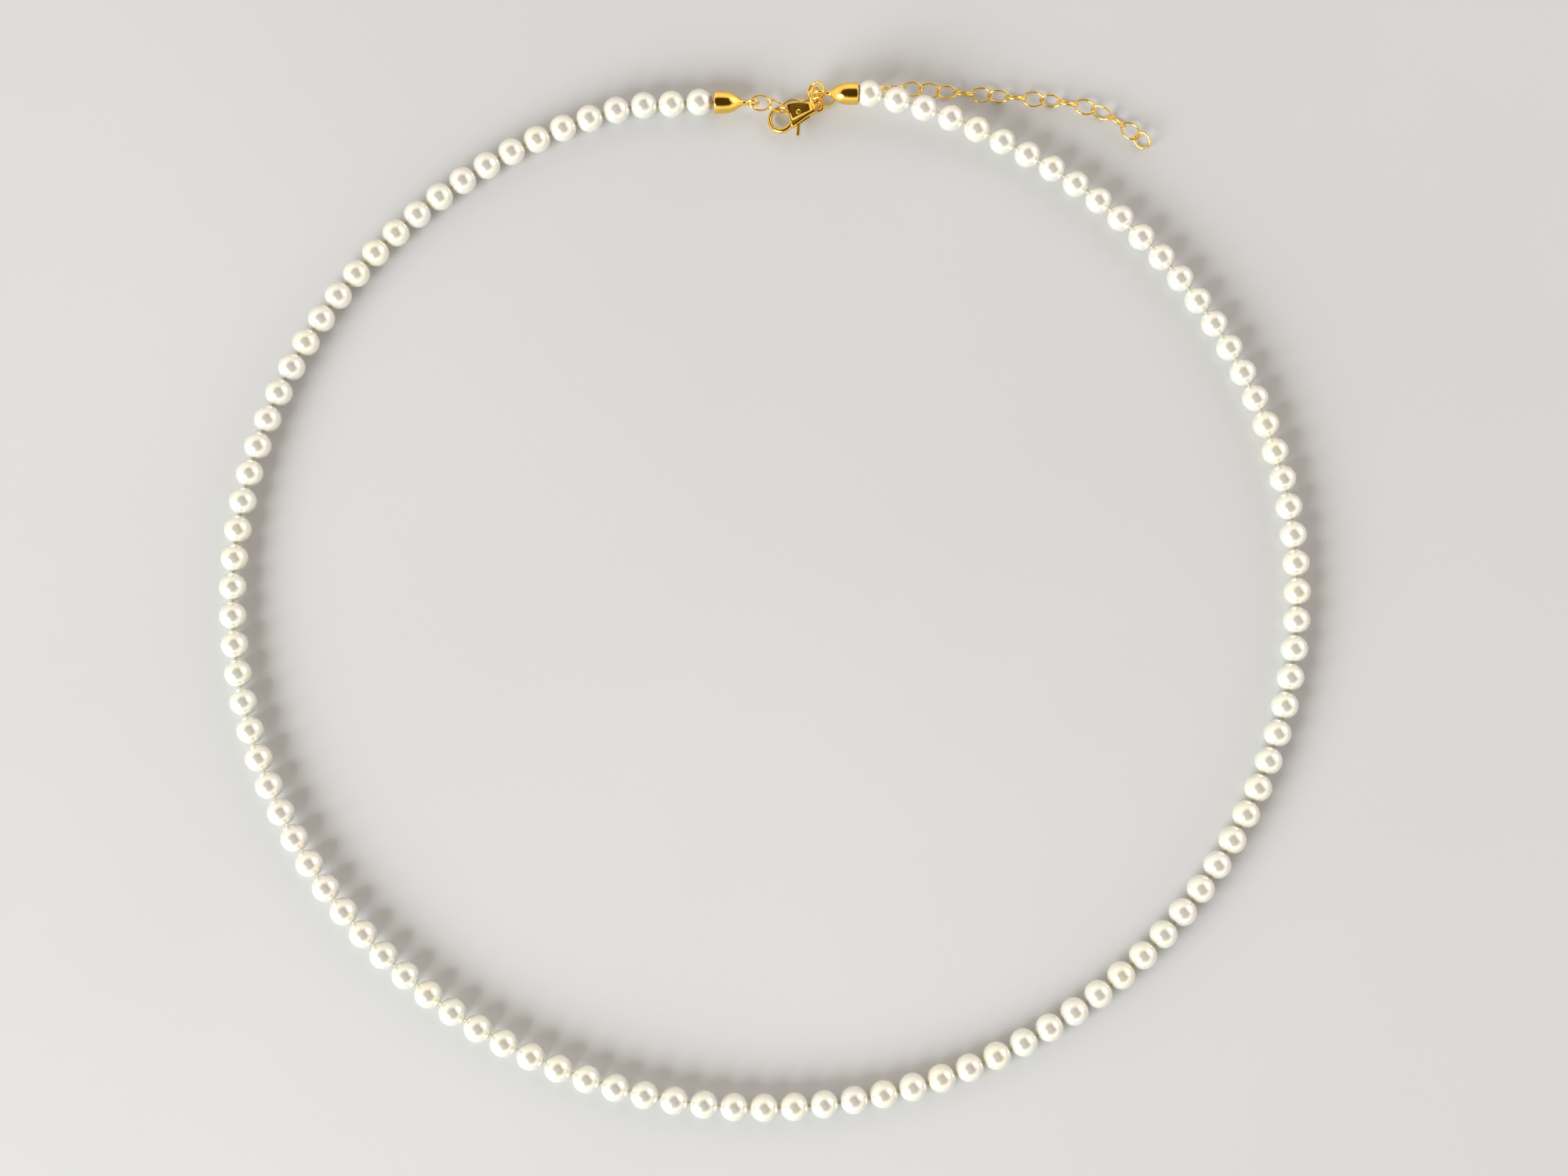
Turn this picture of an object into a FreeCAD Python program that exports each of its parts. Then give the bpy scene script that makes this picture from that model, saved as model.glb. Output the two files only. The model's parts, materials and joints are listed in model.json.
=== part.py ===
import FreeCAD, Part
import math
import os

from FreeCAD import Vector

os.makedirs("parts", exist_ok=True)

# All lengths are in millimetres. +X is to the wearer's right of the clasp, +Y points from the
# middle of the loop to the clasp, +Z is up from the table the necklace lies on.

# Shift that brings the middle of the finished outline to X = Y = 0.
LOOP_CENTRE = Vector(0.0, -0.1, 0.0)

# Strand of pearls
PEARL_COUNT = 108
PEARL_R = 2.0
PEARL_PITCH = 4.15
LOOP_HALF_WIDTH = 75.77
LOOP_HALF_HEIGHT = 73.54
LOOP_TURN_DEG = 6.86
FIRST_PEARL_X = -10.05
THREAD_R = 0.22
THREAD_END_GAP = 0.055
DRILL_R = 0.24
HINGE_GAPS = (3, 12, 20, 29, 37, 46, 60, 68, 77, 85, 94, 102)

# The last pearls on the right rest on the extender chain, the first on the left sag inwards.
LIFT = 2.05
LIFT_PEARLS = 6
SAG = 1.35
SAG_PEARLS = 3

# End caps, drawn from the mouth along the cap's own axis
CAP_R = 1.65
CAP_MOUTH_GAP = {"left": 2.2, "right": 1.65}
CAP_EYE_AT = 5.65
CAP_EYE_R = 0.85
CAP_EYE_WIRE_R = 0.22
CRIMP_R = 0.6
CRIMP_FROM = 2.4
CRIMP_LENGTH = 0.98
THREAD_IN_CAP = 3.3

# Chain links: an oval of two end arcs and two side arcs
WIRE_R = 0.15
LINK_HALF_LENGTH = 1.5
LINK_HALF_WIDTH = 1.1
LINK_END_R = 0.9
LINK_PITCH = 2.57
CHAIN_START = Vector(-2.35, 71.5, 2.0)
END_RING_R = 1.2
END_RING_WIRE_R = 0.18
END_RING_HEADING_DEG = -42
END_RING_ROLL_DEG = 52

# Each link's heading in plan, its roll about its own length, and the height of its far end
CHAIN_LINKS = (
    (-3, 30, 2.11),
    (-9, -27, 0.78),
    (12, 35, 0.85),
    (18, -36, 0.88),
    (14, 35, 0.82),
    (8, -35, 0.82),
    (8, 36, 0.95),
    (9, -45, 1.27),
    (0, 90, 1.25),
    (-2, 45, 1.15),
    (-6, 0, 1.13),
    (-4, 60, 1.13),
    (-4, -60, 1.13),
    (-5, 0, 1.13),
    (-4, 60, 1.13),
    (-4, -60, 1.13),
    (-5, 0, 1.13),
    (-7, 60, 1.13),
    (-9, -60, 1.13),
    (-15, 0, 1.13),
    (-24, 60, 1.13),
    (-35, -60, 1.15),
    (-40, 0, 1.20),
)

# Rings between the right cap and the clasp
CAP_RING_R = 1.25
CAP_RING_WIRE_R = 0.22
CLASP_RING_R = 1.45
CLASP_RING_WIRE_R = 0.20

# Lobster clasp, drawn flat round the middle of its claw with its length along local X
CLASP_AT = Vector(2.0, 69.2, 1.5)
CLASP_HEADING_DEG = 15
CLASP_RISE_DEG = 15
CLAW_OUTER_R = 2.0
CLAW_INNER_R = 1.4
CLAW_HALF_THICK = 0.42
CLASP_HALF_THICK = 0.6
CLASP_EYE_X = 5.75
CLASP_EYE_R = 0.76
CLASP_EYE_WIRE_R = 0.26
NOSE_DEG = 50
PIVOT = Vector(2.75, 0.1, 0)
RIVET_R = 0.29
RIVET_HOLE_R = 0.30
LEVER_HOLE_R = 0.34
LEVER_HALF_THICK = 0.25
SLOT_HALF_THICK = 0.29


def loop_point(t):
    """Point of the oval loop at parameter t, before the ends are eased."""
    turn = math.radians(LOOP_TURN_DEG)
    x = LOOP_HALF_WIDTH * math.cos(t)
    y = LOOP_HALF_HEIGHT * math.sin(t)
    return Vector(
        x * math.cos(turn) - y * math.sin(turn),
        x * math.sin(turn) + y * math.cos(turn),
        PEARL_R,
    )


def solve(function, low, high):
    """Root of a function that changes sign once between low and high."""
    low_sign = function(low) > 0
    for _ in range(60):
        middle = (low + high) / 2
        if (function(middle) > 0) == low_sign:
            low = middle
        else:
            high = middle
    return (low + high) / 2


def ease(share):
    """Smooth step from 0 to 1."""
    share = min(max(share, 0.0), 1.0)
    return share * share * (3 - 2 * share)


def pearl_centres():
    """Centres of the pearls, one pitch apart, from the left cap round to the right cap."""
    top = math.pi / 2
    t = solve(lambda s: loop_point(s).x - FIRST_PEARL_X, top - 0.3, top + 0.4)
    centres = []
    for k in range(PEARL_COUNT):
        here = loop_point(t)
        lift = LIFT * ease(1 - (PEARL_COUNT - 1 - k) / LIFT_PEARLS)
        sag = SAG * ease(1 - k / SAG_PEARLS)
        centres.append(here + Vector(0, -sag, lift))
        t = solve(
            lambda s: here.distanceToPoint(loop_point(s)) - PEARL_PITCH, t, t + 0.2
        )
    return centres


def gap_points(centres):
    """Where the thread shows: the middle of each gap, and just outside the end pearls."""
    clear = PEARL_R + 0.15
    points = [centres[0] + cap_axis("left") * clear]
    for a, b in zip(centres, centres[1:]):
        points.append((a + b) / 2)
    points.append(centres[-1] + cap_axis("right") * clear)
    return points


def cap_axis(side):
    """Unit vector from a cap's mouth towards its eye."""
    return Vector(1, 0, 0) if side == "left" else Vector(-1, 0, 0)


def cap_mouth(centres, side):
    pearl = centres[0] if side == "left" else centres[-1]
    return pearl + cap_axis(side) * CAP_MOUTH_GAP[side]


def drilled_pearl(centre, before, after):
    """Round pearl with its drill hole along the thread."""
    axis = (after - before).normalize()
    pearl = Part.makeSphere(PEARL_R, centre, axis)
    start = (before + after) / 2 - axis * 2 * PEARL_R
    return pearl.cut(Part.makeCylinder(DRILL_R, 4 * PEARL_R, start, axis))


def thread_length(points):
    """Thread along a run of points, mitred at every bend and stopped just short at both ends."""
    start = points[0] + (points[1] - points[0]).normalize() * THREAD_END_GAP
    end = points[-1] + (points[-2] - points[-1]).normalize() * THREAD_END_GAP
    path = Part.makePolygon([start] + points[1:-1] + [end])
    section = Part.Wire([Part.makeCircle(THREAD_R, start, points[1] - start)])
    return path.makePipeShell([section], True, False, 1)


def in_cap_frame(shape, centres, side):
    """Move a shape drawn with its mouth at the origin and its axis along +X into place."""
    placed = shape.copy()
    if side == "right":
        placed.rotate(Vector(0, 0, 0), Vector(0, 0, 1), 180)
    placed.translate(cap_mouth(centres, side))
    return placed


def end_cap():
    """Bullet-shaped cap: a turned shell with a ring for an eye in the XZ plane."""
    outline = [
        (0.0, 1.42),
        (0.0, CAP_R),
        (1.5, CAP_R),
        (2.3, 1.52),
        (2.9, 1.28),
        (3.4, 0.97),
        (3.85, 0.61),
        (4.2, 0.38),
        (4.85, 0.30),
        (4.85, 0.0),
        (CRIMP_FROM + 1.0, 0.0),
        (CRIMP_FROM + 1.0, CRIMP_R + 0.02),
        (CRIMP_FROM, CRIMP_R + 0.02),
        (1.7, 1.32),
        (0.2, 1.36),
    ]
    points = [Vector(x, 0, r) for x, r in outline]
    curve = Part.BSplineCurve()
    curve.interpolate(points[2:9])
    edges = [Part.makeLine(points[k], points[k + 1]) for k in (0, 1)]
    edges.append(curve.toShape())
    edges += [Part.makeLine(points[k], points[k + 1]) for k in range(8, len(points) - 1)]
    edges.append(Part.makeLine(points[-1], points[0]))
    face = Part.Face(Part.Wire(edges))
    shell = face.revolve(Vector(0, 0, 0), Vector(1, 0, 0), 360)
    eye = Part.makeTorus(
        CAP_EYE_R, CAP_EYE_WIRE_R, Vector(CAP_EYE_AT, 0, 0), Vector(0, 1, 0)
    )
    return shell.fuse(eye).removeSplitter()


def crimp_bead():
    """Short tube squeezed on the thread's end, seated in the cap."""
    tube = Part.makeCylinder(CRIMP_R, CRIMP_LENGTH, Vector(CRIMP_FROM, 0, 0), Vector(1, 0, 0))
    hole = Part.makeCylinder(DRILL_R, 3, Vector(CRIMP_FROM - 1, 0, 0), Vector(1, 0, 0))
    tube = tube.makeChamfer(0.12, [e for e in tube.Edges if e.Closed])
    return tube.cut(hole)


def oval_link():
    """Chain link in the XY plane with its length along X."""
    end_x = LINK_HALF_LENGTH - LINK_END_R
    side_r = (LINK_HALF_WIDTH**2 + end_x**2 - LINK_END_R**2) / (
        2 * (LINK_HALF_WIDTH - LINK_END_R)
    )
    side_y = side_r - LINK_HALF_WIDTH
    join = math.atan2(side_y, end_x)
    corner = Vector(
        end_x + LINK_END_R * math.cos(join), LINK_END_R * math.sin(join), 0
    )
    right = Vector(LINK_HALF_LENGTH, 0, 0)
    top = Vector(0, LINK_HALF_WIDTH, 0)
    edges = []
    for turn in (0, 180):
        arcs = [
            Part.Arc(Vector(corner.x, -corner.y, 0), right, corner).toShape(),
            Part.Arc(corner, top, Vector(-corner.x, corner.y, 0)).toShape(),
        ]
        for arc in arcs:
            arc.rotate(Vector(0, 0, 0), Vector(0, 0, 1), turn)
            edges.append(arc)
    path = Part.Wire(Part.__sortEdges__(edges))
    start = path.OrderedVertexes[0].Point
    tangent = path.OrderedEdges[0].tangentAt(path.OrderedEdges[0].FirstParameter)
    section = Part.Wire([Part.makeCircle(WIRE_R, start, tangent)])
    return path.makePipeShell([section], True, False)


def turned_frame(origin, heading, rise, roll):
    """Placement whose local X points along a heading and a rise, rolled about itself."""
    rotation = (
        FreeCAD.Rotation(Vector(0, 0, 1), heading)
        .multiply(FreeCAD.Rotation(Vector(0, 1, 0), -rise))
        .multiply(FreeCAD.Rotation(Vector(1, 0, 0), roll))
    )
    return FreeCAD.Placement(origin, rotation)


def placed(shape, placement):
    moved = shape.copy()
    moved.Placement = placement.multiply(moved.Placement)
    return moved


def chain_frames():
    """Placement of every link, and of the point where the end ring hangs."""
    frames = []
    joint = Vector(CHAIN_START)
    for heading, roll, height in CHAIN_LINKS:
        rise = math.degrees(math.asin((height - joint.z) / LINK_PITCH))
        frame = turned_frame(joint, heading, rise, roll)
        step = frame.Rotation.multVec(Vector(LINK_PITCH, 0, 0))
        frames.append(turned_frame(joint + step / 2, heading, rise, roll))
        joint = joint + step
    return frames, joint


def end_ring(joint):
    """Round jump ring at the free end of the extender chain."""
    reach = END_RING_R - END_RING_WIRE_R - WIRE_R + 0.05
    frame = turned_frame(joint, END_RING_HEADING_DEG, 0, END_RING_ROLL_DEG)
    frame.move(frame.Rotation.multVec(Vector(reach, 0, 0)))
    return placed(Part.makeTorus(END_RING_R, END_RING_WIRE_R), frame)


def clasp_frame():
    return turned_frame(CLASP_AT, CLASP_HEADING_DEG, CLASP_RISE_DEG, 0)


def plate(outline, half_thick):
    """Flat plate of the given outline, centred on the local XY plane."""
    points = [Vector(x, y, -half_thick) for x, y in outline]
    face = Part.Face(Part.makePolygon(points + points[:1]))
    return face.extrude(Vector(0, 0, 2 * half_thick))


def disc(radius, half_thick, centre=Vector(0, 0, 0)):
    base = Vector(centre.x, centre.y, -half_thick)
    return Part.makeCylinder(radius, 2 * half_thick, base, Vector(0, 0, 1))


def claw():
    """Hook of the clasp: a rounded bar bent from the body round to the nose."""
    middle = (CLAW_OUTER_R + CLAW_INNER_R) / 2
    half_wide = (CLAW_OUTER_R - CLAW_INNER_R) / 2
    section = Part.Ellipse(Vector(0, 0, 0), CLAW_HALF_THICK, half_wide).toShape()
    section.rotate(Vector(0, 0, 0), Vector(0, 1, 0), 90)
    section.rotate(Vector(0, 0, 0), Vector(0, 0, 1), 90)
    section.translate(Vector(middle, 0, 0))
    face = Part.Face(Part.Wire([section]))
    face.rotate(Vector(0, 0, 0), Vector(0, 0, 1), NOSE_DEG)
    return face.revolve(Vector(0, 0, 0), Vector(0, 0, 1), 282)


def tapered_plate():
    """Flat body of the clasp, its two long sides curving in from the claw to the eye."""
    top = [(0.6, 1.90), (1.6, 1.80), (2.8, 1.60), (4.0, 1.20), (5.4, 0.85)]
    bottom = [(5.4, -0.85), (4.4, -1.00), (3.2, -1.35), (2.0, -1.72), (0.6, -1.90)]
    edges = []
    for side in (top, bottom):
        curve = Part.BSplineCurve()
        curve.interpolate([Vector(x, y, -CLASP_HALF_THICK) for x, y in side])
        edges.append(curve.toShape())
    for start, end in ((top[-1], bottom[0]), (bottom[-1], top[0])):
        edges.append(
            Part.makeLine(
                Vector(*start, -CLASP_HALF_THICK), Vector(*end, -CLASP_HALF_THICK)
            )
        )
    outline = Part.Wire(Part.__sortEdges__(edges))
    return Part.Face(outline).extrude(Vector(0, 0, 2 * CLASP_HALF_THICK))


def clasp_body():
    front = plate([(-3, -3), (1.35, -3), (1.35, 3), (-3, 3)], 1)
    body = tapered_plate().cut(front).cut(disc(CLAW_INNER_R, 1))
    long_edges = [
        e for e in body.Edges if e.Length > 2 and abs(e.CenterOfMass.y) > 0.9
    ]
    body = body.makeFillet(0.28, long_edges)
    eye = Part.makeTorus(
        CLASP_EYE_R, CLASP_EYE_WIRE_R, Vector(CLASP_EYE_X, 0, 0), Vector(0, 0, 1)
    )
    body = body.cut(disc(CLASP_EYE_R, 1, Vector(CLASP_EYE_X, 0, 0)))
    body = body.fuse([claw(), eye])
    slot = [
        (0.9, 0.2),
        (0.9, 2.6),
        (2.4, 2.6),
        (4.1, 0.9),
        (4.25, -0.9),
        (3.5, -2.4),
        (1.95, -2.4),
        (1.95, -0.6),
    ]
    body = body.cut(plate(slot, SLOT_HALF_THICK))
    return body.cut(disc(RIVET_HOLE_R, 1, PIVOT))


def clasp_lever():
    """Gate, hub and thumb tab in one flat piece."""
    gate = disc(1.93, LEVER_HALF_THICK).cut(disc(1.45, 1))
    wedge = [(0, 0), (3, 3.3), (5, 1.5), (5, 0.35)]
    gate = gate.common(plate(wedge, 1))
    hub = disc(0.72, LEVER_HALF_THICK, PIVOT)
    web = plate([(1.55, 0.3), (1.6, 1.05), (2.4, 0.75), (2.6, -0.4)], LEVER_HALF_THICK)
    tab = [
        (2.1, -0.1),
        (3.35, -0.3),
        (3.3, -0.85),
        (2.6, -1.4),
        (1.95, -3.3),
        (1.45, -3.3),
        (2.1, -1.6),
    ]
    lever = gate.fuse([hub, web, plate(tab, LEVER_HALF_THICK)]).removeSplitter()
    return lever.cut(disc(LEVER_HOLE_R, 1, PIVOT))


def clasp_spring():
    """Small coil between the lever's heel and the back of the slot."""
    coil = Part.makeHelix(0.14, 0.66, 0.18)
    section = Part.Wire([Part.makeCircle(0.045, Vector(0.18, 0, 0), Vector(0, 1, 0))])
    spring = Part.Wire(coil).makePipeShell([section], True, True)
    spring.rotate(Vector(0, 0, 0), Vector(0, 1, 0), 90)
    spring.translate(Vector(3.42, -0.58, 0))
    return spring


def ring(radius, wire_radius, centre, heading, tilt):
    """Jump ring whose plane holds a level line along the heading, tilted about it."""
    return placed(
        Part.makeTorus(radius, wire_radius), turned_frame(centre, heading, 0, tilt)
    )


def save(name, shape):
    shape = shape.copy()
    shape.translate(LOOP_CENTRE * -1)
    shape.exportStep("parts/" + name + ".step")


def build_strand(centres, points):
    """One node of pearls and one of thread for each stretch between two hinges."""
    stops = (0,) + HINGE_GAPS + (PEARL_COUNT,)
    for number, (first, last) in enumerate(zip(stops, stops[1:]), start=1):
        pearls = [
            drilled_pearl(centres[k], points[k], points[k + 1])
            for k in range(first, last)
        ]
        run = points[first : last + 1]
        if first == 0:
            run.insert(0, cap_mouth(centres, "left") + cap_axis("left") * THREAD_IN_CAP)
        if last == PEARL_COUNT:
            run.append(cap_mouth(centres, "right") + cap_axis("right") * THREAD_IN_CAP)
        save("pearls_%02d" % number, Part.makeCompound(pearls))
        save("thread_%02d" % number, thread_length(run))


def build_caps(centres):
    for side in ("left", "right"):
        save("end_cap_" + side, in_cap_frame(end_cap(), centres, side))
        save("crimp_" + side, in_cap_frame(crimp_bead(), centres, side))


def build_chain():
    link = oval_link()
    frames, joint = chain_frames()
    for number, frame in enumerate(frames, start=1):
        save("chain_link_%02d" % number, placed(link, frame))
    save("chain_end_ring", end_ring(joint))


def build_clasp():
    cap_ring = ring(CAP_RING_R, CAP_RING_WIRE_R, Vector(7.0, 72.9, 3.41), 80, -35)
    clasp_ring = ring(CLASP_RING_R, CLASP_RING_WIRE_R, Vector(7.1, 71.75, 3.62), 86, 53)
    save("cap_ring", cap_ring)
    save("clasp_ring", clasp_ring)
    frame = clasp_frame()
    rivet = disc(RIVET_R, CLASP_HALF_THICK, PIVOT)
    save("clasp_body", placed(clasp_body(), frame))
    save("clasp_lever", placed(clasp_lever(), frame))
    save("clasp_rivet", placed(rivet, frame))
    save("clasp_spring", placed(clasp_spring(), frame))


centres = pearl_centres()
build_strand(centres, gap_points(centres))
build_caps(centres)
build_chain()
build_clasp()
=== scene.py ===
import json
import math
import random

import bmesh
import bpy
from mathutils import Matrix, Vector, noise


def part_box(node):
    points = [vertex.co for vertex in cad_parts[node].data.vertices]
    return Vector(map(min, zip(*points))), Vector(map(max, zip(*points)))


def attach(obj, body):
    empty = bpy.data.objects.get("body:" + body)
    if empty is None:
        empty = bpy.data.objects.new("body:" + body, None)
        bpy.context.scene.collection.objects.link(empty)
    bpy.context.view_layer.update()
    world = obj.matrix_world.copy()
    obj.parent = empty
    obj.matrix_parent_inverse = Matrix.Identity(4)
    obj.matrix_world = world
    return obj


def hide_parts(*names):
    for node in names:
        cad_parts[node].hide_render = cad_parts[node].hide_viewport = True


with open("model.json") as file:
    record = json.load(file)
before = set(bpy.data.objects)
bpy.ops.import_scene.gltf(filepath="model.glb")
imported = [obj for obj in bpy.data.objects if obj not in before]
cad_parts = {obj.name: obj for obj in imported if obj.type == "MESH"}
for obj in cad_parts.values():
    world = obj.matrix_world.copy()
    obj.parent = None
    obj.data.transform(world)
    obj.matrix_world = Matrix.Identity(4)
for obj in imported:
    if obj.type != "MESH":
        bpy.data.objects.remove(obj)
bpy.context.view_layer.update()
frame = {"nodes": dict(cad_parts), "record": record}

MM = 0.001
MM_IN_A_METRE = 1000
SEED = 108

STRETCHES = 13
LINKS = 23

# The CAD's dimensions, in millimetres; the drill hole and the thread are a hair thinner here
PEARL_R = 2.0
HOLE_R = 0.235
THREAD_R = 0.20
LINK_HALF_LENGTH = 1.5
LINK_HALF_WIDTH = 1.1
LINK_END_R = 0.9
WIRE_R = 0.15
CAP_EYE_AT = 5.65
CAP_EYE_R = 0.85
CAP_EYE_WIRE_R = 0.22
CLASP_HEADING = math.radians(15)
LEVER_PIVOT = (2.75, 0.1, 0)
CLASP_UPPER_SIDE = [(0.6, 1.90), (1.6, 1.80), (2.8, 1.60), (4.0, 1.20), (5.4, 0.85)]
CLASP_LOWER_SIDE = [(0.6, -1.90), (2.0, -1.72), (3.2, -1.35), (4.4, -1.00), (5.4, -0.85)]

# Pearls: how much they differ, and the edge of the drill hole as an angle from its axis
PEARL_SHRINK = 0.006
DENT_DEPTH = 0.012
DENT_SCALE = 1.4
NOISE_REACH = 9
HOLE_EDGE_DEG = 8.5
ARC_STEPS = 26

# Thread, in millimetres: its ends are measured from the centre of the pearl next to the cap
THREAD_END_LEFT = 5.3
THREAD_END_RIGHT = 4.7
THREAD_PAST_PEARL = PEARL_R + 0.15
THREAD_STEP = 0.16
PLY_TURN_LENGTH = 1.1
PLY_DEPTH = 0.14

# How many sides and steps the round things have
PEARL_SIDES = 48
CAP_SIDES = 56
RIVET_SIDES = 32
THREAD_SIDES = 12
LINK_WIRE_SIDES = 14
RING_WIRE_SIDES = 16
RING_STEPS = 72
LINK_END_STEPS = 20
LINK_SIDE_STEPS = 14

RING_CUT_DEG = 1.6
RIVET_TIP = 0.516

# Relief of the cast clasp; each pair is where a change starts and ends. Lengths are millimetres
# in its own frame, the spine and rim edges are parts of its width, and the turn is in radians.
CLAW_UNTIL = 1.3
DISH_ALONG_START = (1.45, 1.8)
DISH_ALONG_END = (4.5, 5.0)
DISH_SPINE_EDGE = (0.22, 0.33)
DISH_RIM_EDGE = (0.90, 0.98)
DISH_THROUGH = (0.30, 0.50)
DISH_DEPTH = 0.19
DISH_LESS_AT_RIM = 0.13
CLAW_EXTRA = 0.17
CLAW_EXTRA_TURN = 0.35
CLAW_GROWS = (1.5, 1.95)

# Studio, in metres, and the camera as it was fitted to the photograph, in millimetres and degrees
FLOOR_SIZE = 2.5
FLOOR_DROP = 0.00003
DIM_PATCH_WAY = (0.05, -0.22, 0.974)
CAMERA_PLACE = (-5.6, -68.9, 386.5)
CAMERA_SIDE_DEG = 1.21
CAMERA_TILT_DEG = 10.04
CAMERA_LENS = 63
SENSOR_WIDTH = 36

JOINTS = {joint["name"]: joint for joint in frame["record"]["behaviour"]["joints"]}


# ---------------------------------------------------------------- mesh helpers

def new_object(name, mesh_data, material):
    """Object from a bmesh, smooth shaded, with one material."""
    mesh = bpy.data.meshes.new(name)
    bmesh.ops.recalc_face_normals(mesh_data, faces=mesh_data.faces)
    mesh_data.to_mesh(mesh)
    mesh_data.free()
    mesh.shade_smooth()
    mesh.materials.append(material)
    piece = bpy.data.objects.new(name, mesh)
    bpy.context.scene.collection.objects.link(piece)
    return piece


def skin(rows, bm, closed_loop=False):
    """Quads between closed rows of vertices."""
    pairs = list(zip(rows, rows[1:]))
    if closed_loop:
        pairs.append((rows[-1], rows[0]))
    count = len(rows[0])
    for lower, upper in pairs:
        for k in range(count):
            j = (k + 1) % count
            bm.faces.new((lower[k], lower[j], upper[j], upper[k]))


def frame_matrix(origin, x_axis, z_hint):
    """Axes at origin with X along x_axis and Z as near z_hint as it can be."""
    x_axis = x_axis.normalized()
    y_axis = z_hint.cross(x_axis).normalized()
    z_axis = x_axis.cross(y_axis)
    return Matrix((
        (x_axis.x, y_axis.x, z_axis.x, origin.x),
        (x_axis.y, y_axis.y, z_axis.y, origin.y),
        (x_axis.z, y_axis.z, z_axis.z, origin.z),
        (0, 0, 0, 1),
    ))


def lathe(bm, profile, matrix, segments):
    """Turn (along, radius) pairs in millimetres about the matrix's X axis."""
    rows = []
    for along, radius in profile:
        row = []
        for k in range(segments):
            turn = 2 * math.pi * k / segments
            point = Vector((along, radius * math.cos(turn), radius * math.sin(turn)))
            row.append(bm.verts.new(matrix @ (point * MM)))
        rows.append(row)
    skin(rows, bm)
    return rows


def tube(bm, path, normals, radius, segments, closed):
    """Round wire along a path in metres; each point has a normal that fixes its roll."""
    rows = []
    count = len(path)
    for k, (point, normal) in enumerate(zip(path, normals)):
        ahead = path[(k + 1) % count] if closed or k < count - 1 else point
        behind = path[k - 1] if closed or k > 0 else point
        tangent = (ahead - behind).normalized()
        side = tangent.cross(normal).normalized()
        up = side.cross(tangent)
        row = []
        for j in range(segments):
            turn = 2 * math.pi * j / segments
            offset = side * math.cos(turn) + up * math.sin(turn)
            row.append(bm.verts.new(point + offset * radius * MM))
        rows.append(row)
    skin(rows, bm, closed_loop=closed)
    return rows


def close_end(bm, row, centre):
    """Triangles over the open end of a tube or lathe, meeting at centre."""
    tip = bm.verts.new(centre)
    count = len(row)
    for k in range(count):
        bm.faces.new((row[k], row[(k + 1) % count], tip))


def smooth_profile(points, steps):
    """Catmull-Rom curve through (along, radius) points."""
    padded = [points[0]] + list(points) + [points[-1]]
    curve = []
    for a, b, c, d in zip(padded, padded[1:], padded[2:], padded[3:]):
        for k in range(steps):
            t = k / steps
            curve.append(tuple(
                0.5 * (
                    2 * b[i]
                    + (c[i] - a[i]) * t
                    + (2 * a[i] - 5 * b[i] + 4 * c[i] - d[i]) * t * t
                    + (3 * b[i] - a[i] - 3 * c[i] + d[i]) * t * t * t
                )
                for i in (0, 1)
            ))
    curve.append(points[-1])
    return curve


# ---------------------------------------------------------------- reading the CAD

def islands(node):
    """Vertex positions of each separate shell in a CAD node."""
    mesh = frame["nodes"][node].data
    bm = bmesh.new()
    bm.from_mesh(mesh)
    bmesh.ops.remove_doubles(bm, verts=bm.verts, dist=1e-7)
    seen = set()
    groups = []
    for start in bm.verts:
        if start in seen:
            continue
        seen.add(start)
        stack = [start]
        group = [start.co.copy()]
        while stack:
            vertex = stack.pop()
            for edge in vertex.link_edges:
                other = edge.other_vert(vertex)
                if other not in seen:
                    seen.add(other)
                    stack.append(other)
                    group.append(other.co.copy())
        groups.append(group)
    bm.free()
    return groups


def box_centre(points):
    """Middle of the box round some points."""
    low = Vector([min(p[i] for p in points) for i in range(3)])
    high = Vector([max(p[i] for p in points) for i in range(3)])
    return (low + high) / 2


def flat_normal(points, centre):
    """Normal of the plane a ring or link lies in: the way its points spread least."""
    arms = [(point - centre) / MM for point in points]
    spread = [[sum(arm[i] * arm[j] for arm in arms) for j in range(3)] for i in range(3)]
    narrow = Matrix(spread).inverted()
    # Any start out of the plane will do; each pass brings it nearer to the normal
    normal = Vector((0.2, 0.1, 1))
    for _ in range(8):
        normal = (narrow @ normal).normalized()
    return normal


def joint_point(name):
    """Where a joint's axis passes, in metres."""
    return Vector(JOINTS[name]["pos_m"])


def pearl_centres(number):
    """Pearl centres of one stretch, in order along the strand."""
    groups = islands("pearls_%02d" % number)
    centres = [box_centre(group) for group in groups]
    return sorted(centres, key=loop_angle)


def loop_angle(point):
    """Angle of a point round the loop, from the left of the clasp round to its right."""
    return (math.atan2(point.y, point.x) - math.radians(90)) % (2 * math.pi)


# ---------------------------------------------------------------- materials

def node_material(name):
    """New material with its node tree and its shader."""
    material = bpy.data.materials.new(name)
    material.use_nodes = True
    tree = material.node_tree
    return material, tree, tree.nodes["Principled BSDF"]


def add(tree, kind, **settings):
    """New shader node with its settings."""
    node = tree.nodes.new(kind)
    for key, value in settings.items():
        setattr(node, key, value)
    return node


def noise_node(tree, scale, detail, roughness=0.5):
    """Noise fixed to the piece, so that it moves with it."""
    coordinates = add(tree, "ShaderNodeTexCoord")
    texture = add(tree, "ShaderNodeTexNoise")
    texture.inputs["Scale"].default_value = scale
    texture.inputs["Detail"].default_value = detail
    texture.inputs["Roughness"].default_value = roughness
    tree.links.new(coordinates.outputs["Object"], texture.inputs["Vector"])
    return texture


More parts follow.
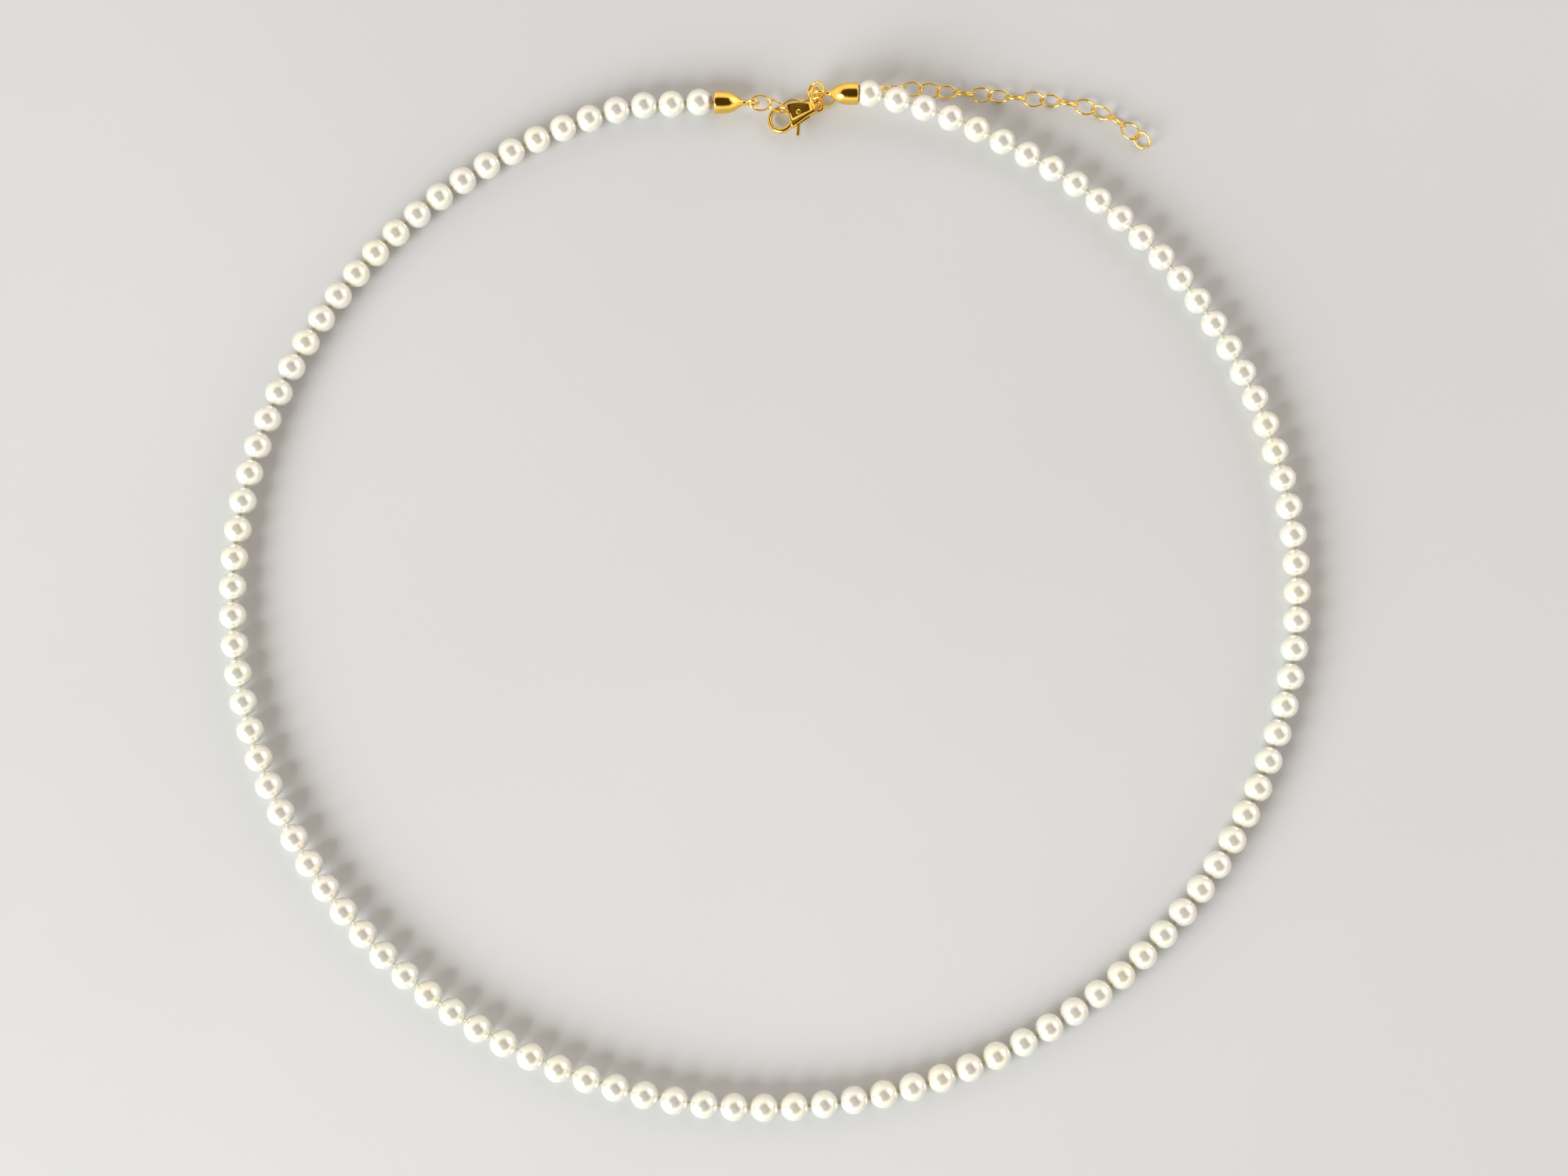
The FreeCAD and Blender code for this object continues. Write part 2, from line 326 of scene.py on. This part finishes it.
def ramp_node(tree, source, stops):
    """Colour ramp from (place, colour) stops."""
    ramp = add(tree, "ShaderNodeValToRGB")
    while len(ramp.color_ramp.elements) < len(stops):
        ramp.color_ramp.elements.new(0.5)
    for element, (place, colour) in zip(ramp.color_ramp.elements, stops):
        element.position = place
        element.color = (*colour, 1)
    tree.links.new(source, ramp.inputs["Fac"])
    return ramp


def range_node(tree, source, low, high):
    """Value from 0 to 1 stretched to run from low to high."""
    mapped = add(tree, "ShaderNodeMapRange")
    mapped.inputs["To Min"].default_value = low
    mapped.inputs["To Max"].default_value = high
    tree.links.new(source, mapped.inputs["Value"])
    return mapped


def bump_node(tree, source, strength, distance):
    """Bump from a height."""
    bump = add(tree, "ShaderNodeBump")
    bump.inputs["Strength"].default_value = strength
    bump.inputs["Distance"].default_value = distance
    tree.links.new(source, bump.inputs["Height"])
    return bump


def pearl_material():
    """Nacre: near-white body, a tint that differs from pearl to pearl, a clear glossy skin."""
    material, tree, shader = node_material("nacre")
    tint = add(tree, "ShaderNodeAttribute", attribute_name="tint")
    own = ramp_node(tree, tint.outputs["Fac"], [
        (0.0, (0.91, 0.885, 0.745)),
        (0.35, (0.91, 0.89, 0.785)),
        (0.7, (0.905, 0.87, 0.795)),
        (1.0, (0.87, 0.89, 0.775)),
    ])
    cloud = noise_node(tree, scale=420, detail=3)
    veil = ramp_node(tree, cloud.outputs["Fac"], [
        (0.3, (0.97, 0.95, 0.97)),
        (0.7, (1.0, 1.0, 0.98)),
    ])
    mix = add(tree, "ShaderNodeMix", data_type="RGBA", blend_type="MULTIPLY")
    mix.inputs["Factor"].default_value = 1.0
    tree.links.new(own.outputs["Color"], mix.inputs["A"])
    tree.links.new(veil.outputs["Color"], mix.inputs["B"])
    tree.links.new(mix.outputs["Result"], shader.inputs["Base Color"])
    satin = noise_node(tree, scale=900, detail=4)
    rough = range_node(tree, satin.outputs["Fac"], low=0.14, high=0.23)
    tree.links.new(rough.outputs["Result"], shader.inputs["Roughness"])
    grain = noise_node(tree, scale=1500, detail=3)
    bump = bump_node(tree, grain.outputs["Fac"], strength=0.12, distance=0.00002)
    tree.links.new(bump.outputs["Normal"], shader.inputs["Normal"])
    shader.inputs["Metallic"].default_value = 0.46
    shader.inputs["IOR"].default_value = 1.6
    shader.inputs["Subsurface Weight"].default_value = 0.12
    shader.inputs["Subsurface Radius"].default_value = (1.0, 0.85, 0.7)
    shader.inputs["Subsurface Scale"].default_value = 0.0006
    shader.inputs["Coat Weight"].default_value = 0.9
    shader.inputs["Coat Roughness"].default_value = 0.06
    shader.inputs["Coat IOR"].default_value = 1.55
    shader.inputs["Thin Film Thickness"].default_value = 430
    shader.inputs["Thin Film IOR"].default_value = 1.42
    return material


def gold_material(name, colour, low_rough, high_rough, scratch):
    """Polished yellow gold with fine rubbing marks and soft changes of tone."""
    material, tree, shader = node_material(name)
    tone = noise_node(tree, scale=500, detail=4)
    darker = tuple(channel * 0.86 for channel in colour)
    ramp = ramp_node(tree, tone.outputs["Fac"], [(0.35, darker), (0.62, colour)])
    tree.links.new(ramp.outputs["Color"], shader.inputs["Base Color"])
    wear = noise_node(tree, scale=1600, detail=5, roughness=0.65)
    rough = range_node(tree, wear.outputs["Fac"], low_rough, high_rough)
    tree.links.new(rough.outputs["Result"], shader.inputs["Roughness"])
    coordinates = add(tree, "ShaderNodeTexCoord")
    stretch = add(tree, "ShaderNodeMapping")
    stretch.inputs["Scale"].default_value = (500, 4200, 2600)
    stretch.inputs["Rotation"].default_value = (0.3, 0.2, 0.7)
    marks = add(tree, "ShaderNodeTexNoise")
    marks.inputs["Scale"].default_value = 1.0
    marks.inputs["Detail"].default_value = 3
    tree.links.new(coordinates.outputs["Object"], stretch.inputs["Vector"])
    tree.links.new(stretch.outputs["Vector"], marks.inputs["Vector"])
    bump = bump_node(tree, marks.outputs["Fac"], strength=scratch, distance=0.00002)
    tree.links.new(bump.outputs["Normal"], shader.inputs["Normal"])
    shader.inputs["Metallic"].default_value = 1.0
    return material


def thread_material():
    """Pale silk, a little darker between its plies."""
    material, tree, shader = node_material("silk_thread")
    fibre = noise_node(tree, scale=6000, detail=3)
    ramp = ramp_node(tree, fibre.outputs["Fac"], [
        (0.3, (0.80, 0.68, 0.40)),
        (0.7, (0.96, 0.90, 0.70)),
    ])
    tree.links.new(ramp.outputs["Color"], shader.inputs["Base Color"])
    bump = bump_node(tree, fibre.outputs["Fac"], strength=0.4, distance=0.00003)
    tree.links.new(bump.outputs["Normal"], shader.inputs["Normal"])
    shader.inputs["Roughness"].default_value = 0.55
    shader.inputs["Sheen Weight"].default_value = 0.4
    shader.inputs["Sheen Roughness"].default_value = 0.4
    return material


def floor_material():
    """Smooth pale grey card."""
    material, tree, shader = node_material("pale_card")
    tone = noise_node(tree, scale=9, detail=4)
    ramp = ramp_node(tree, tone.outputs["Fac"], [
        (0.3, (0.592, 0.594, 0.595)),
        (0.7, (0.622, 0.624, 0.625)),
    ])
    tree.links.new(ramp.outputs["Color"], shader.inputs["Base Color"])
    shader.inputs["Roughness"].default_value = 0.55
    return material


NACRE = pearl_material()
YELLOW = (0.97, 0.65, 0.14)
DEEP_YELLOW = (0.95, 0.63, 0.13)
GOLD = gold_material("polished_gold", YELLOW, low_rough=0.05, high_rough=0.14, scratch=0.05)
CAST_GOLD = gold_material("cast_gold", DEEP_YELLOW, low_rough=0.07, high_rough=0.18, scratch=0.06)
WIRE_GOLD = gold_material("drawn_gold", YELLOW, low_rough=0.07, high_rough=0.16, scratch=0.04)
SILK = thread_material()


# ---------------------------------------------------------------- pearls and thread

def pearl_profile():
    """Outline of a drilled pearl from one hole to the other, rims slightly rounded."""
    rim = [(1.60, HOLE_R), (1.90, HOLE_R), (1.955, HOLE_R + 0.02)]
    arc = []
    sweep_deg = 180 - 2 * HOLE_EDGE_DEG
    for k in range(ARC_STEPS + 1):
        turn = math.radians(HOLE_EDGE_DEG + sweep_deg * k / ARC_STEPS)
        arc.append((PEARL_R * math.cos(turn), PEARL_R * math.sin(turn)))
    return rim + arc + [(-along, radius) for along, radius in reversed(rim)]


def add_pearl(bm, tint_layer, centre, axis, dice):
    """One pearl, a hair out of round, with its own tint."""
    size = 1 - PEARL_SHRINK * dice.random()
    tint = dice.random()
    spot = Vector([dice.uniform(-NOISE_REACH, NOISE_REACH) for _ in range(3)])
    roll = Matrix.Rotation(dice.uniform(0, 2 * math.pi), 4, "X")
    matrix = frame_matrix(centre, axis, Vector((0, 0, 1))) @ roll
    profile = [(along * size, radius * size) for along, radius in pearl_profile()]
    for row in lathe(bm, profile, matrix, PEARL_SIDES):
        for vertex in row:
            way = (vertex.co - centre) / (PEARL_R * MM)
            outside_hole = way.length > 0.9
            if outside_hole:
                dent = 0.5 * noise.noise(way * DENT_SCALE + spot) - 0.5
                vertex.co += way * dent * DENT_DEPTH * MM
            vertex[tint_layer] = tint


def thread_points(number, centres):
    """Where one stretch of thread runs: hinge, the gaps between pearls, hinge."""
    middles = [(a + b) / 2 for a, b in zip(centres, centres[1:])]
    if number == 1:
        start = centres[0] + Vector((THREAD_END_LEFT * MM, 0, 0))
        first = centres[0] + Vector((THREAD_PAST_PEARL * MM, 0, 0))
        middles = [start, first] + middles
    else:
        middles.insert(0, joint_point("bend_%02d" % (number - 1)))
    if number == STRETCHES:
        last = centres[-1] - Vector((THREAD_PAST_PEARL * MM, 0, 0))
        middles += [last, centres[-1] - Vector((THREAD_END_RIGHT * MM, 0, 0))]
    else:
        middles.append(joint_point("bend_%02d" % number))
    return middles


def twisted_thread(bm, points):
    """Two-ply silk thread that follows the points, its plies turning as it goes."""
    rows = []
    travelled = 0.0
    for a, b in zip(points, points[1:]):
        span = (b - a).length
        along = (b - a).normalized()
        side = along.cross(Vector((0, 0, 1))).normalized()
        up = side.cross(along)
        steps = max(2, int(span / (THREAD_STEP * MM)))
        for k in range(steps + 1):
            if k == 0 and rows:
                continue
            place = a + (b - a) * (k / steps)
            twist = 2 * math.pi * (travelled + span * k / steps) / (PLY_TURN_LENGTH * MM)
            row = []
            for j in range(THREAD_SIDES):
                turn = 2 * math.pi * j / THREAD_SIDES
                radius = THREAD_R * (1 - PLY_DEPTH + PLY_DEPTH * abs(math.cos(turn - twist)))
                offset = side * math.cos(turn) + up * math.sin(turn)
                row.append(bm.verts.new(place + offset * radius * MM))
            rows.append(row)
        travelled += span
    skin(rows, bm)
    close_end(bm, rows[0], points[0])
    close_end(bm, rows[-1], points[-1])


def build_strand():
    """Pearls and thread of every stretch between two hinges."""
    dice = random.Random(SEED)
    for number in range(1, STRETCHES + 1):
        body = "strand_%02d" % number
        centres = pearl_centres(number)
        points = thread_points(number, centres)
        # The thread point inside the left cap belongs to no pearl
        inner = points[1:] if number == 1 else points
        bm = bmesh.new()
        tint_layer = bm.verts.layers.float.new("tint")
        for centre, before, after in zip(centres, inner, inner[1:]):
            add_pearl(bm, tint_layer, centre, after - before, dice)
        pearls = new_object("strand_pearls_%02d" % number, bm, NACRE)
        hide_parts("pearls_%02d" % number)
        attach(pearls, body)
        bm = bmesh.new()
        twisted_thread(bm, points)
        thread = new_object("strand_thread_%02d" % number, bm, SILK)
        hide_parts("thread_%02d" % number)
        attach(thread, body)


# ---------------------------------------------------------------- end caps

def build_caps():
    """Bell caps, hollow at the mouth, each with a wire eye; (along, radius) from the mouth."""
    outside = smooth_profile([
        (1.5, 1.65), (2.3, 1.52), (2.9, 1.28), (3.4, 0.97),
        (3.85, 0.61), (4.2, 0.38), (4.88, 0.30),
    ], steps=6)
    lip = [
        (2.4, 0.62), (1.7, 1.32), (0.2, 1.36), (0.06, 1.39), (0.0, 1.47),
        (0.0, 1.56), (0.05, 1.62), (0.14, 1.65), (0.6, 1.655), (1.1, 1.655),
    ]
    for side, body in (("left", "strand_01"), ("right", "strand_13")):
        low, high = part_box("end_cap_" + side)
        middle = (low + high) / 2
        facing = 1 if side == "left" else -1
        mouth = Vector((low.x if side == "left" else high.x, middle.y, middle.z))
        matrix = frame_matrix(mouth, Vector((facing, 0, 0)), Vector((0, 0, 1)))
        bm = bmesh.new()
        rows = lathe(bm, lip + outside, matrix, CAP_SIDES)
        close_end(bm, rows[-1], matrix @ Vector((4.9 * MM, 0, 0)))
        centre = matrix @ Vector((CAP_EYE_AT * MM, 0, 0))
        toward = Vector((facing, 0, 0))
        ring_path(bm, centre, Vector((0, 1, 0)), CAP_EYE_R, CAP_EYE_WIRE_R, toward, gap_deg=0)
        cap = new_object("cap_" + side, bm, GOLD)
        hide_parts("end_cap_" + side)
        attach(cap, body)


# ---------------------------------------------------------------- rings and links

def ring_path(bm, centre, normal, radius, wire, toward, gap_deg):
    """Round wire ring; with a gap it is cut like a jump ring, the cut on the far side of toward."""
    x_axis = (toward - normal * toward.dot(normal)).normalized()
    y_axis = normal.cross(x_axis)
    path = []
    start = math.radians(180 + gap_deg / 2)
    sweep = math.radians(360 - gap_deg)
    steps = RING_STEPS if gap_deg == 0 else RING_STEPS - 1
    for k in range(RING_STEPS):
        turn = start + sweep * k / steps
        path.append(centre + (x_axis * math.cos(turn) + y_axis * math.sin(turn)) * radius * MM)
    rows = tube(bm, path, [normal] * RING_STEPS, wire, RING_WIRE_SIDES, closed=gap_deg == 0)
    if gap_deg:
        close_end(bm, rows[0], path[0])
        close_end(bm, rows[-1], path[-1])


def link_outline():
    """Points of the oval the link's wire follows, in millimetres."""
    end_x = LINK_HALF_LENGTH - LINK_END_R
    side_r = (LINK_HALF_WIDTH**2 + end_x**2 - LINK_END_R**2) / (
        2 * (LINK_HALF_WIDTH - LINK_END_R)
    )
    side_y = side_r - LINK_HALF_WIDTH
    join = math.atan2(side_y, end_x)
    half_side = math.pi / 2 - join
    points = []
    for k in range(LINK_END_STEPS):
        turn = -join + 2 * join * k / LINK_END_STEPS
        points.append((end_x + LINK_END_R * math.cos(turn), LINK_END_R * math.sin(turn)))
    for k in range(LINK_SIDE_STEPS):
        turn = join + 2 * half_side * k / LINK_SIDE_STEPS
        points.append((side_r * math.cos(turn), side_r * math.sin(turn) - side_y))
    return points + [(-x, -y) for x, y in points]


def build_links():
    """Extender chain, each link from its own joint to the next one's."""
    outline = link_outline()
    for number in range(1, LINKS + 1):
        node = "chain_link_%02d" % number
        start = joint_point("turn_link_%02d" % number)
        following = "turn_link_%02d" % (number + 1) if number < LINKS else "turn_end_ring"
        end = joint_point(following)
        points = islands(node)[0]
        normal = flat_normal(points, (start + end) / 2)
        matrix = frame_matrix((start + end) / 2, end - start, normal)
        bm = bmesh.new()
        path = [matrix @ Vector((x * MM, y * MM, 0)) for x, y in outline]
        face = matrix.to_3x3() @ Vector((0, 0, 1))
        tube(bm, path, [face] * len(path), WIRE_R, LINK_WIRE_SIDES, closed=True)
        link = new_object("link_%02d" % number, bm, WIRE_GOLD)
        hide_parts(node)
        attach(link, node)


def build_rings():
    """Jump rings: node, middle radius, wire radius, and the way the cut faces away from."""
    rings = (
        ("chain_end_ring", 1.2, 0.18, Vector((-1, 1, 0.3))),
        ("cap_ring", 1.25, 0.22, Vector((0.3, -1, -0.3))),
        ("clasp_ring", 1.45, 0.20, Vector((0.5, 0.4, -0.8))),
    )
    for node, radius, wire, toward in rings:
        points = islands(node)[0]
        centre = sum(points, Vector((0, 0, 0))) / len(points)
        centre = (centre + box_centre(points)) / 2
        bm = bmesh.new()
        ring_path(bm, centre, flat_normal(points, centre), radius, wire, toward, RING_CUT_DEG)
        ring = new_object(node + "_wire", bm, WIRE_GOLD)
        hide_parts(node)
        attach(ring, node)


# ---------------------------------------------------------------- clasp

def between(table, at):
    """Height of a line through the (place, height) pairs of a table."""
    for (a, low), (b, high) in zip(table, table[1:]):
        if at <= b:
            return low + (high - low) * max(0.0, (at - a) / (b - a))
    return table[-1][1]


def ease(value, low, high):
    """0 below low, 1 above high, smooth between."""
    t = min(1.0, max(0.0, (value - low) / (high - low)))
    return t * t * (3 - 2 * t)


def clasp_matrix():
    """Placement of the clasp: X from the claw to the eye, Z through its flat body."""
    through = Vector(JOINTS["lever_turn"]["axis"]).normalized()
    level = Vector((math.cos(CLASP_HEADING), math.sin(CLASP_HEADING), 0))
    along = level - through * level.dot(through)
    matrix = frame_matrix(joint_point("lever_turn"), along, through)
    return matrix @ Matrix.Translation(Vector(LEVER_PIVOT) * -MM)


def model_casting(mesh):
    """Heavier lower claw, and faces dished between a rounded spine and a thin upper rim."""
    matrix = clasp_matrix()
    inverse = matrix.inverted()
    for vertex in mesh.vertices:
        x, y, z = (inverse @ vertex.co) / MM
        low = between(CLASP_LOWER_SIDE, x)
        high = between(CLASP_UPPER_SIDE, x)
        across = (y - low) / (high - low)
        if x > CLAW_UNTIL:
            dish = ease(across, *DISH_SPINE_EDGE) * (1 - ease(across, *DISH_RIM_EDGE))
            ends = ease(x, *DISH_ALONG_START) * (1 - ease(x, *DISH_ALONG_END))
            outer = ease(abs(z), *DISH_THROUGH)
            depth = DISH_DEPTH - DISH_LESS_AT_RIM * across
            z -= math.copysign(depth * dish * ends * outer, z)
        else:
            radius = math.hypot(x, y)
            below = max(0.0, -math.sin(math.atan2(y, x) + CLAW_EXTRA_TURN))
            grow = CLAW_EXTRA * below * ease(radius, *CLAW_GROWS)
            x += x / radius * grow
            y += y / radius * grow
        vertex.co = matrix @ (Vector((x, y, z)) * MM)


def softened(node, name, body, voxel, passes):
    """Copy of a CAD node with its edges run together like a polished casting.

    Remeshing is done at a thousand times the size, with the voxel in millimetres.
    """
    source = frame["nodes"][node]
    piece = bpy.data.objects.new(name, source.data.copy())
    bpy.context.scene.collection.objects.link(piece)
    piece.data.materials.clear()
    bm = bmesh.new()
    bm.from_mesh(piece.data)
    bmesh.ops.remove_doubles(bm, verts=bm.verts, dist=2e-7)
    bmesh.ops.scale(bm, vec=[MM_IN_A_METRE] * 3, verts=bm.verts)
    bm.to_mesh(piece.data)
    bm.free()
    remesh = piece.modifiers.new("remesh", "REMESH")
    remesh.mode = "VOXEL"
    remesh.voxel_size = voxel
    smooth = piece.modifiers.new("smooth", "SMOOTH")
    smooth.factor = 0.5
    smooth.iterations = passes
    depsgraph = bpy.context.evaluated_depsgraph_get()
    mesh = bpy.data.meshes.new_from_object(piece.evaluated_get(depsgraph))
    piece.modifiers.clear()
    piece.data = mesh
    mesh.transform(Matrix.Scale(MM, 4))
    mesh.shade_smooth()
    mesh.materials.clear()
    mesh.materials.append(CAST_GOLD)
    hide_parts(node)
    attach(piece, body)
    return piece


def build_rivet():
    """Pin with a low polished dome at both ends."""
    axis = Vector(JOINTS["lever_turn"]["axis"]).normalized()
    centre = joint_point("lever_turn")
    matrix = frame_matrix(centre, axis, Vector((1, 0, 0)))
    dome = [(0.46, 0.29), (0.49, 0.285), (0.505, 0.26), (0.512, 0.18), (0.515, 0.08)]
    profile = [(-along, radius) for along, radius in reversed(dome)] + dome
    bm = bmesh.new()
    rows = lathe(bm, profile, matrix, RIVET_SIDES)
    close_end(bm, rows[0], matrix @ Vector((-RIVET_TIP * MM, 0, 0)))
    close_end(bm, rows[-1], matrix @ Vector((RIVET_TIP * MM, 0, 0)))
    rivet = new_object("rivet_pin", bm, GOLD)
    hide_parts("clasp_rivet")
    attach(rivet, "clasp")


def build_clasp():
    """Cast body and lever, rivet, and the hidden pieces, which keep their CAD shapes."""
    casting = softened("clasp_body", "clasp_casting", "clasp", voxel=0.045, passes=9)
    model_casting(casting.data)
    softened("clasp_lever", "clasp_gate", "clasp_lever", voxel=0.035, passes=4)
    build_rivet()
    for node in ("clasp_spring", "crimp_left", "crimp_right"):
        plain = frame["nodes"][node]
        plain.data.shade_smooth()
        for slot in plain.material_slots:
            slot.material = CAST_GOLD


# ---------------------------------------------------------------- studio

def build_floor():
    """Card the necklace lies on, a hair below it."""
    bm = bmesh.new()
    bmesh.ops.create_grid(bm, x_segments=2, y_segments=2, size=FLOOR_SIZE)
    floor = new_object("floor", bm, floor_material())
    floor.location.z = -FLOOR_DROP


def area_light(name, place, target, size, power, colour):
    """Round lamp that the camera doesn't see."""
    data = bpy.data.lights.new(name, "AREA")
    data.shape = "DISK"
    data.size = size
    data.energy = power
    data.color = colour
    light = bpy.data.objects.new(name, data)
    light.location = place
    light.rotation_euler = (target - place).to_track_quat("-Z", "Y").to_euler()
    light.visible_camera = False
    bpy.context.scene.collection.objects.link(light)


def build_world():
    """Pale room with a dim patch overhead, where whoever looks down at the necklace stands."""
    world = bpy.data.worlds.new("room")
    bpy.context.scene.world = world
    world.use_nodes = True
    tree = world.node_tree
    background = tree.nodes["Background"]
    coordinates = add(tree, "ShaderNodeTexCoord")
    toward = add(tree, "ShaderNodeVectorMath", operation="DOT_PRODUCT")
    toward.inputs[1].default_value = DIM_PATCH_WAY
    tree.links.new(coordinates.outputs["Generated"], toward.inputs[0])
    # From the sides of the room to the middle of the dim patch
    ramp = ramp_node(tree, toward.outputs["Value"], [
        (0.0, (1.0, 0.92, 0.80)),
        (0.40, (1.17, 1.10, 1.01)),
        (0.62, (0.98, 0.93, 0.88)),
        (0.74, (0.40, 0.30, 0.13)),
        (0.83, (0.07, 0.045, 0.01)),
    ])
    tree.links.new(ramp.outputs["Color"], background.inputs["Color"])
    background.inputs["Strength"].default_value = 1.04


def build_lights():
    """Cool key from the near left, dim lavender fill from the right; metres and watts."""
    middle = Vector((0, 0, 0))
    key_place = Vector((-0.81, -0.81, 0.61))
    fill_place = Vector((0.88, 0.36, 0.72))
    area_light("key", key_place, middle, size=0.85, power=21.5, colour=(0.89, 0.95, 1.0))
    area_light("fill", fill_place, middle, size=1.2, power=3.2, colour=(0.84, 0.81, 1.0))


def build_camera():
    """Above the loop and a little on its near side, looking almost straight down."""
    data = bpy.data.cameras.new("camera")
    data.sensor_width = SENSOR_WIDTH
    data.lens = CAMERA_LENS
    data.clip_start = 0.01
    data.clip_end = 20
    camera = bpy.data.objects.new("camera", data)
    bpy.context.scene.collection.objects.link(camera)
    side = math.radians(CAMERA_SIDE_DEG)
    tilt = math.radians(CAMERA_TILT_DEG)
    normal = Vector((
        math.sin(side) * math.cos(tilt),
        math.sin(tilt),
        math.cos(side) * math.cos(tilt),
    ))
    across = Vector((1, 0, 0))
    x_axis = (across - normal * across.dot(normal)).normalized()
    y_axis = normal.cross(x_axis)
    # Rows are the room's axes seen from the camera
    turn = Matrix((x_axis, y_axis, normal))
    camera.matrix_world = Matrix.Translation(Vector(CAMERA_PLACE) * MM) @ turn.to_4x4()
    bpy.context.scene.camera = camera


build_camera()
build_strand()
build_caps()
build_links()
build_rings()
build_clasp()
build_floor()
build_world()
build_lights()

bpy.context.scene.view_settings.view_transform = "Standard"
bpy.context.view_layer.update()
